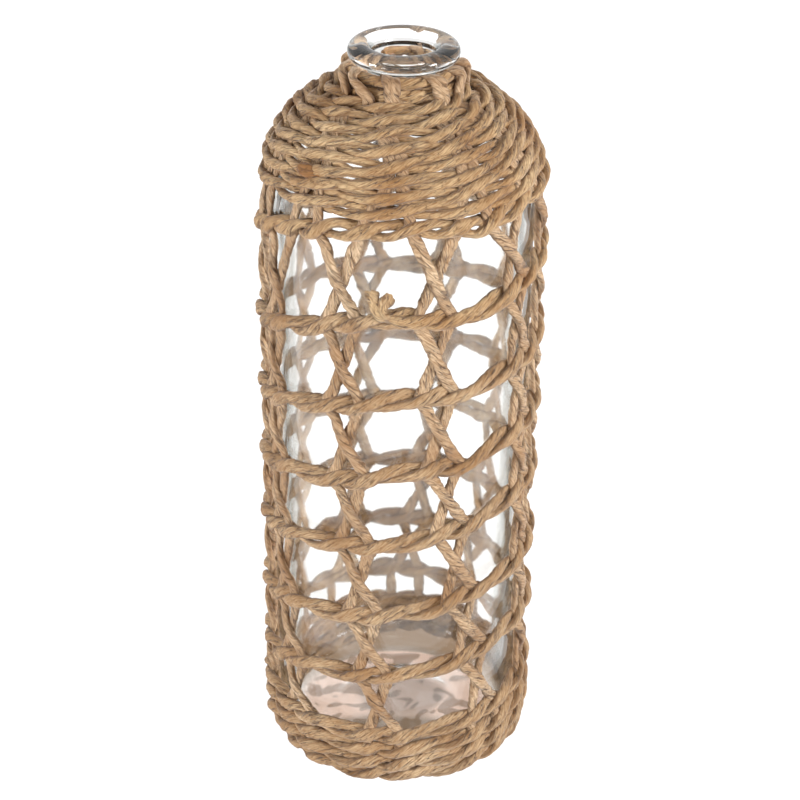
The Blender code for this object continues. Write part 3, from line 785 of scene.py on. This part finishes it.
# Down a cell of the net: share of the way, share of the rise to the crossing, and how far proud of that
CELL_PATH = ((0.17, 0.0, 0.0004), (0.36, 0.75, 0.0), (0.5, 1.0, 0.0), (0.64, 0.75, 0.0), (0.83, 0.0, 0.0004))
BAND_SHARES = (0.0, 0.25, 0.5, 0.75)
SHOULDER_LEG_STEPS = 14
SHOULDER_LEG_POWER = 1.15  # above 1 brings its places closer together at the neck
LEG_RISE_SHARE = 0.15


def smooth_path(keys):
    """A smooth line through key rows of numbers whose first three are a place."""
    keys = np.array(keys)
    knots = distances(keys[:, :3])
    slopes = np.gradient(keys, knots, axis=0)
    even = np.linspace(0.0, knots[-1], int(knots[-1] / PATH_SPACING))
    index = np.clip(np.searchsorted(knots, even, side="right") - 1, 0, len(knots) - 2)
    span = (knots[index + 1] - knots[index])[:, None]
    share = (even - knots[index])[:, None] / span
    start, end = keys[index], keys[index + 1]
    square, cube = share ** 2, share ** 3
    return ((2 * cube - 3 * square + 1) * start + (cube - 2 * square + share) * span * slopes[index]
            + (3 * square - 2 * cube) * end + (cube - square) * span * slopes[index + 1])


def leg_key(run, angle, lift, sense, pressed):
    place, outward = on_glass(np.array(run), np.array(angle), np.array(lift))
    return [*place, *(outward * sense), STAKE_WIDTH, STAKE_THICKNESS * mix(1.0, STAKE_PRESSED, pressed)]


def net_leg(column, start_side, sense):
    """One leg down the net: it changes sides in each cell, and passes over when it goes right."""
    levels = [leg_level(column, start_side, level) for level in range(NET_TURNS + 1)]
    runs = [float(row_run(turn)) for turn, _, _ in levels]
    keys = []
    for level in range(NET_TURNS):
        angle_a, angle_b = levels[level][1], levels[level + 1][1]
        keys.append(leg_key(runs[level], angle_a, STAKE_THREAD_LIFT, sense, 1.0))
        goes_over = levels[level][2] < 0
        crossing = STAKE_CROSSING_LIFT if goes_over else STAKE_REST_LIFT
        for share, rise, proud in CELL_PATH:
            run = mix(runs[level], runs[level + 1], share)
            lift = mix(STAKE_REST_LIFT, crossing, rise) + proud
            keys.append(leg_key(run, mix(angle_a, angle_b, share), lift, sense, 0.0))
    angle = levels[-1][1]
    last_turn = math.floor(BAND_END_TURN - 1 + angle / FULL_TURN) - angle / FULL_TURN
    foot_run = float(row_run(last_turn))
    for share in BAND_SHARES:
        keys.append(leg_key(mix(runs[-1], foot_run, share), angle, STAKE_THREAD_LIFT, sense, 1.0))
    keys.append(leg_key(foot_run, angle, STAKE_REST_LIFT, sense, 1.0))
    return keys, runs[0], levels[0][1]


def shoulder_leg(first_run, stake, side, last_run, last_angle):
    keys = []
    turn_back = round((last_angle - math.radians(STRIP_ANGLES[stake])) / FULL_TURN) * FULL_TURN
    for share in np.linspace(0.0, 1.0, SHOULDER_LEG_STEPS + 1)[:-1]:
        share = share ** SHOULDER_LEG_POWER
        run = mix(first_run, last_run, share)
        radius = float(np.interp(run, SIDE_RUNS, SIDE_RADII)) + STAKE_THREAD_LIFT
        beside = math.radians(strip_angle(stake, share)) + side * STAKE_PITCH_HALF / radius
        parting = smooth((share - PARTING_SHARE) / (1 - PARTING_SHARE))
        angle = mix(beside, last_angle - turn_back, parting)
        lift = mix(STAKE_REST_LIFT, STAKE_THREAD_LIFT, smooth(share / LEG_RISE_SHARE))
        keys.append(leg_key(run, angle, lift, side, 1.0))
    return keys


def collar_height(turn):
    """Middle of the collar: level, with a short drop of one row at the end of each turn."""
    whole = np.floor(turn)
    drop = whole + smooth((turn - whole - 1) / COLLAR_CLIMB_SHARE + 1)
    return LIP_BOTTOM - COLLAR_TOP_DROP - COLLAR_ROW_PITCH * drop


def collar_lift(angle):
    """Middle of the collar above the neck: pushed out where a leg comes up behind it."""
    pushed = 0 * angle
    for degrees in NECK_ANGLES:
        away = (angle - math.radians(degrees) + math.pi) % FULL_TURN - math.pi
        pushed = np.maximum(pushed, np.exp(-(away / math.radians(COLLAR_LOOP_DEGREES)) ** 2))
    return mix(COLLAR_REST_LIFT, COLLAR_LOOP_LIFT, pushed)


def collar_loop(stake):
    """The fold over the collar, from the inside leg to the outside leg."""
    middle_angle = math.radians(NECK_ANGLES[stake])
    turn = ((math.radians(COLLAR_START_DEGREES) - middle_angle) / FULL_TURN) % 1
    top = float(collar_height(turn))
    reach = COLLAR_THICKNESS / 2 + LOOP_THICKNESS / 2
    inner = NECK_RADIUS + LOOP_PRESSED / 2
    outer = NECK_RADIUS + COLLAR_LOOP_LIFT + reach + LOOP_SLACKS[stake]
    low = LIP_BOTTOM - COLLAR_TOP_DROP - COLLAR_ROW_PITCH - COLLAR_ROW_WIDTH / 2
    turn_height = top + COLLAR_ROW_WIDTH / 2 - LOOP_RISE - LIP_ROOM
    slant = math.radians(LOOP_SLANTS[stake]) / 2
    # Radius, height, the outward direction's two parts, side of the pair, and share of the slant
    places = [(inner, SHOULDER_TOP + NECK_FILLET, -1.0, 0.0, -1.0, 0.0),
              (inner, turn_height, -1.0, 0.0, -0.7, -0.5)]
    for degrees, side in LOOP_FOLD:
        out_radius = math.cos(math.radians(degrees))
        out_height = math.sin(math.radians(degrees))
        places.append(((inner + outer) / 2 + out_radius * (outer - inner) / 2,
                       turn_height + out_height * LOOP_RISE, out_radius, out_height, side, -1.0))
    places += [(outer, turn_height, 1.0, 0.0, 1.0, -0.9),
               (outer, (turn_height + low) / 2, 1.0, 0.0, 1.0, 0.1), (outer, low, 1.0, 0.0, 1.0, 0.9)]
    keys = []
    for radius, height, out_radius, out_height, side, slanted in places:
        angle = np.array(middle_angle + side * STAKE_PITCH_HALF / radius + slanted * slant)
        place = around(radius, height, angle)
        outward = around(out_radius, out_height, angle)
        keys.append([*place, *outward, LOOP_WIDTH, mix(LOOP_PRESSED, LOOP_THICKNESS, (1 + out_radius) / 2)])
    return keys


def stake_cord(stake, material):
    """One cord folded in half: its left leg inside the collar, its right leg outside."""
    left_net, left_run, left_angle = net_leg((stake - 1) % len(NECK_ANGLES), 1, -1.0)
    right_net, right_run, right_angle = net_leg(stake, -1, 1.0)
    outer_leg = NECK_RADIUS + COLLAR_LOOP_LIFT + COLLAR_THICKNESS / 2 + LOOP_THICKNESS
    outer_start = run_at_radius(outer_leg)
    left = shoulder_leg(SHOULDER_EDGE_RUN, stake, -1, left_run, left_angle)
    right = shoulder_leg(outer_start, stake, 1, right_run, right_angle)
    keys = list(reversed(left + left_net)) + collar_loop(stake) + right + right_net
    path = smooth_path(keys)
    seed = STAKE_SEED + STAKE_SEED_STEP * stake
    width, thickness = path[:, 6], path[:, 7]
    tube = cord_tube(path[:, :3], path[:, 3:6], width, thickness, 0 * width, seed, STAKE_CREASE)
    cord_object(f"stake_cord_{stake + 1}_folded", tube, material, [f"stake_cord_{stake + 1}"])


def neck_collar(material):
    turns = np.linspace(-COLLAR_TAIL, COLLAR_TURNS - COLLAR_CLIMB_SHARE, COLLAR_STATIONS)
    angle = math.radians(COLLAR_START_DEGREES) - FULL_TURN * turns
    points = around(NECK_RADIUS + collar_lift(angle), collar_height(np.maximum(turns, 0.0)), angle)
    zero = 0 * angle
    outward = around(1.0 + zero, 0.0, angle)
    tube = cord_tube(points, outward, COLLAR_ROW_WIDTH + zero, COLLAR_THICKNESS + zero, zero, COLLAR_SEED,
                     STAKE_CREASE)
    cord_object("neck_collar_cord", tube, material, ["neck_collar"])


# Finishes
# Inputs in order: a Map Range takes a value, the two ends of its range, and the two that they are sent to;
# a Mix takes its share as 0 and its colours as 6 and 7
SMOOTHED = {"interpolation_type": "SMOOTHSTEP"}
IN_COLOUR = {"data_type": "RGBA"}
CORD_ROUND = 1.6  # radius of a cord about 10 mm round, which gives the pattern space in mm
FIBRE_DARK = "8D6339"
# Colour of the painted shade in the creases
CREASE_SHADE_COLOUR = "4A2B12"
CREASE_BUMP = 0.42 * MM


def twisted_paper(name, crease_turn, brown, pale):
    """Kraft paper, twisted: matt, straw brown, with creases that wind slowly round the cord, darkened with
    painted shade.

    The creases and the fine fibre lines beside them run nearly along the cord, so
    the eye reads how it was twisted. Both are bump and colour together.
    """
    material, node = new_material(name)
    run = node("UVMap", uv_map="cord_run")
    parts = node("SeparateXYZ", (run,))
    length, turn = parts.outputs[0], parts.outputs[1]
    place = node("TexCoord").outputs["Object"]

    # Distance round the cord from a line that winds with the creases, in turns
    wound = node("Math", (length, 1 / (crease_turn * TO_MM)), operation="MULTIPLY")
    off_line = node("Math", (turn, wound), operation="SUBTRACT")
    circle = node("Math", (off_line, FULL_TURN), operation="MULTIPLY")
    cosine = node("Math", (circle,), operation="COSINE")
    sine = node("Math", (circle,), operation="SINE")
    around_x = node("Math", (cosine, CORD_ROUND), operation="MULTIPLY")
    around_y = node("Math", (sine, CORD_ROUND), operation="MULTIPLY")

    def stretched(share):
        """Cord space in mm with its length shrunk, so that a pattern is drawn out along the cord."""
        shrunk = node("Math", (length, share), operation="MULTIPLY")
        return node("CombineXYZ", (shrunk, around_x, around_y))

    # Fibre lines about 0.4 mm apart, and folds about 1 mm apart
    fibres = node("TexNoise", {"Vector": stretched(0.12), "Scale": 2.6, "Detail": 3.0, "Roughness": 0.6})
    folds = node("TexNoise", {"Vector": stretched(0.11), "Scale": 0.9, "Detail": 2.0, "Roughness": 0.55,
                              "Distortion": 0.3})
    # A crease is where the folds' noise passes its middle value, and its dark colour is painted shade
    near = node("Math", (folds, 0.5), operation="SUBTRACT")
    apart = node("Math", (near,), operation="ABSOLUTE")
    crease = node("MapRange", (apart, 0.0, 0.028, 1.0, 0.0), **SMOOTHED)
    gate_noise = node("TexNoise", {"Vector": stretched(0.3), "Scale": 0.5, "Detail": 0.0})
    gate = node("MapRange", (gate_noise, 0.42, 0.60, 0.0, 0.9), **SMOOTHED)
    fine_line = node("Math", (crease, gate), operation="MULTIPLY")
    # Painted shade where the mesh is creased, at the cord's edges and in its crumples
    depth = node("Attribute", attribute_name="painted_crease_shade").outputs["Fac"]
    mesh_shade = node("MapRange", (depth, 0.35, 1.0, 0.0, 0.85), **SMOOTHED)
    crease_shade_share = node("Math", (fine_line, mesh_shade), operation="MAXIMUM")

    # Straw, with paler and browner lengths, as one roll of paper differs from the next
    patches = node("TexNoise", {"Vector": place, "Scale": 55.0, "Detail": 2.0})
    lengths = node("MapRange", (patches, 0.28, 0.72))
    base = node("Mix", {0: lengths, 6: brown, 7: pale}, **IN_COLOUR)
    streak = node("MapRange", (fibres, 0.34, 0.62, 0.1, 1.0))
    fibred = node("Mix", {0: streak, 6: FIBRE_DARK, 7: base}, **IN_COLOUR)
    # Painted shade darkens the creases
    creased = node("Mix", {0: crease_shade_share, 6: fibred, 7: CREASE_SHADE_COLOUR}, **IN_COLOUR)
    height_fibres = node("Math", (fibres, 0.35), operation="MULTIPLY")
    height = node("Math", (height_fibres, fine_line), operation="SUBTRACT")
    bump = node("Bump", {"Height": height, "Strength": 1.0, "Distance": CREASE_BUMP})
    shader = node("BsdfPrincipled", {
        "Base Color": creased, "Roughness": 0.72, "IOR": 1.45, "Specular IOR Level": 0.35,
        "Sheen Weight": 0.3, "Sheen Roughness": 0.5, "Sheen Tint": "FFF2EC", "Normal": bump})
    node("OutputMaterial", {"Surface": shader})
    return material


GLASS_CLEAR = "F4F4F3"
GLASS_SIDE = "BEC1BE"
GLASS_EDGE = "707472"
GLASS_FOOT_SHADE = "B4B4B2"
GLASS_WAVE = 0.4 * MM
FOOT_SHADE_CENTRE = (0.004, 0.002, 0.008)


def bottle_glass():
    """Soda-lime glass, blown in a mould: clear and hard, uneven, darker where it is seen edge on."""
    material, node = new_material("mould_blown_soda_lime_glass")
    place = node("TexCoord").outputs["Object"]
    facing = node("LayerWeight", {"Blend": 0.35}).outputs["Facing"]
    side = node("MapRange", (facing, 0.41, 0.48), **SMOOTHED)
    edge = node("MapRange", (facing, 0.52, 0.72), **SMOOTHED)
    tint = node("Mix", {0: side, 6: GLASS_CLEAR, 7: GLASS_SIDE}, **IN_COLOUR)
    tint = node("Mix", {0: edge, 6: tint, 7: GLASS_EDGE}, **IN_COLOUR)
    waves = node("TexNoise", {"Vector": place, "Scale": 42.0, "Detail": 1.0})
    # Painted shade: the thick middle of the foot is tinted grey for the shade seen through it, with an
    # uneven edge
    off_foot = node("VectorMath", (place, FOOT_SHADE_CENTRE), operation="DISTANCE").outputs["Value"]
    uneven = node("Math", (waves, 0.022, off_foot), operation="MULTIPLY_ADD")
    foot_shade = node("MapRange", (uneven, 0.023, 0.029, 0.9, 0.0), **SMOOTHED)
    tint = node("Mix", {0: foot_shade, 6: tint, 7: GLASS_FOOT_SHADE}, **IN_COLOUR)
    bump = node("Bump", {"Height": waves, "Strength": 0.35, "Distance": GLASS_WAVE})
    shader = node("BsdfPrincipled", {
        "Base Color": tint, "Roughness": 0.05, "IOR": 1.51, "Transmission Weight": 1.0, "Normal": bump})
    # Light passes through it to the cords and the floor behind
    clear = node("BsdfTransparent", {"Color": "FCFCFC"})
    path = node("LightPath")
    lit_through = node("MixShader", (path.outputs["Is Shadow Ray"], shader, clear))
    node("OutputMaterial", {"Surface": lit_through})
    return material


def seen_directly(node):
    """1 for rays that show the stage to the eye, straight or by way of glass or gloss."""
    path = node("LightPath").outputs
    straight = node("Math", (path["Is Camera Ray"], path["Is Glossy Ray"]), operation="MAXIMUM")
    return node("Math", (straight, path["Is Transmission Ray"]), operation="MAXIMUM")


# Distances from the axis: the floor inside the first shows through the foot's glass alone
UNDER_FOOT = 0.034
BESIDE_FOOT = 0.041
FLOOR_WHITE = (0.85, 0.85, 0.85, 1.0)
FLOOR_PAINTED_CORD_SHADE = (0.36, 0.31, 0.27, 1.0)
PAINTED_CORD_IMAGE = "A68A78"
PAINTED_CORD_REFLECTION = "8A7056"
PAINTED_WARM_BOUNCE = "FFD8C2"


def white_floor():
    """Matt white paper: it takes the vase's shadow, and shows as plain white; under the vase and seen
    steeply through glass it carries painted bounce light, painted shade and painted images of the cords.
    """
    material, node = new_material("matt_white_paper")
    # Under the vase, where only its glass shows the floor, the shade is not lifted
    place = node("TexCoord").outputs["Object"]
    away = node("VectorMath", (place,), operation="LENGTH").outputs["Value"]
    clear = node("MapRange", (away, UNDER_FOOT, BESIDE_FOOT, 0.48, 0.86), **SMOOTHED)
    # Painted reflection: seen steeply and through glass, as the lip shows it, the floor is given the brown
    # of the cords all round
    facing = node("LayerWeight", {"Blend": 0.5}).outputs["Facing"]
    slant = node("MapRange", (facing, 0.30, 0.345), **SMOOTHED)
    share = node("Math", (seen_directly(node), clear), operation="MULTIPLY")
    # Painted warm bounce light from the brown cords, under the vase
    bounce_fade = node("MapRange", (away, UNDER_FOOT, BESIDE_FOOT))
    painted_tone = node("Mix", {0: bounce_fade, 6: PAINTED_WARM_BOUNCE, 7: "FFFFFF"}, **IN_COLOUR)
    # Painted images: the thick glass of the foot throws broken images of the brown cords on it, painted as
    # brown patches in the glow and as painted shade in the paper's own colour
    images = node("TexNoise", {"Vector": place, "Scale": 75.0, "Detail": 1.0, "Distortion": 1.6})
    cord_image_mask = node("MapRange", (images, 0.49, 0.54), **SMOOTHED)
    under = node("MapRange", (away, UNDER_FOOT, BESIDE_FOOT, 0.85, 0.0))
    brown = node("Math", (cord_image_mask, under), operation="MULTIPLY")
    painted_tone = node("Mix", {0: brown, 6: painted_tone, 7: PAINTED_CORD_IMAGE}, **IN_COLOUR)
    plain = node("Mix", {0: brown, 6: FLOOR_WHITE, 7: FLOOR_PAINTED_CORD_SHADE}, **IN_COLOUR)
    paper = node("BsdfDiffuse", {"Color": plain})
    through = node("LightPath").outputs["Is Transmission Ray"]
    steep = node("Math", (1.0, slant), operation="SUBTRACT")
    cord_reflection_share = node("Math", (steep, through), operation="MULTIPLY")
    shown = node("Mix", {0: cord_reflection_share, 6: painted_tone, 7: PAINTED_CORD_REFLECTION}, **IN_COLOUR)
    # The glass takes some of the light away, and the photograph's white shows through it all the same
    strength = node("Math", (through, 0.5, 1.2), operation="MULTIPLY_ADD")
    glow = node("Emission", {"Color": shown, "Strength": strength})
    both = node("MixShader", (share, paper, glow))
    node("OutputMaterial", {"Surface": both})
    return material


# Stage
FLOOR_SIZE = 14.0
FILL_STRENGTH = 0.17
WHITE = (1.0, 1.0, 1.0, 1.0)
AIM = (0.0, 0.0, 0.12)
LAMPS = (  # name, place, side in metres and power in watts
    ("softbox_above", (0.55, -0.6, 1.15), 0.3, 4.4),
    ("softbox_right", (1.2, -0.7, 0.5), 0.4, 14.6),
    ("softbox_left", (-1.2, -0.6, 0.2), 0.4, 13.8),
    ("softbox_front", (0.1, -1.5, 0.35), 0.4, 2.5),
    ("softbox_behind", (0.1, 1.4, 0.6), 0.5, 8.0),
)


def floor_and_light():
    bpy.ops.object.select_all(action="DESELECT")
    bpy.ops.mesh.primitive_plane_add(size=FLOOR_SIZE, location=(0.0, 0.0, 0.0))
    floor = bpy.context.object
    floor.name = "floor"
    floor.data.materials.append(white_floor())

    world = bpy.data.worlds.new("studio")
    bpy.context.scene.world = world
    world.use_nodes = True
    world.node_tree.nodes.clear()
    node = partial(add_node, world.node_tree)
    fill = node("Background", {"Color": WHITE, "Strength": FILL_STRENGTH})
    seen = node("Background", {"Color": WHITE, "Strength": 1.0})
    both = node("MixShader", (seen_directly(node), fill, seen))
    node("OutputWorld", {"Surface": both})

    for name, place, side, power in LAMPS:
        lamp = bpy.data.lights.new(name, "AREA")
        lamp.shape = "RECTANGLE"
        lamp.size = side
        lamp.size_y = side
        lamp.energy = power
        item = new_object(name, lamp)
        item.location = place
        # The lamp behind is there for the shade at the back, and the lip doesn't mirror it
        mirrored = name != "softbox_behind"
        item.visible_glossy = mirrored
        item.visible_transmission = mirrored
        aim = Matrix.Translation(AIM).translation - item.location
        item.rotation_euler = aim.to_track_quat("-Z", "Y").to_euler()


place_camera()
NET_PAPER = twisted_paper("loosely_twisted_kraft_paper", CREASE[0], "A8835B", "D6BA95")
SHOULDER_PAPER = twisted_paper("loosely_twisted_browner_kraft_paper", CREASE[0], "AC8457", "E1C499")
STAKE_PAPER = twisted_paper("hard_twisted_kraft_paper", STAKE_CREASE[0], "B4906C", "EACFAC")
windings({"shoulder_winding": SHOULDER_PAPER, "net_winding": NET_PAPER, "foot_band_winding": NET_PAPER})
cut_end(twisted_paper("old_brown_kraft_paper", CREASE[0], "84582F", "AE7E4B"))
neck_collar(SHOULDER_PAPER)
for stake_number in range(len(NECK_ANGLES)):
    stake_cord(stake_number, STAKE_PAPER)
glass_bottle(bottle_glass())
floor_and_light()
bpy.context.scene.view_settings.view_transform = "Standard"
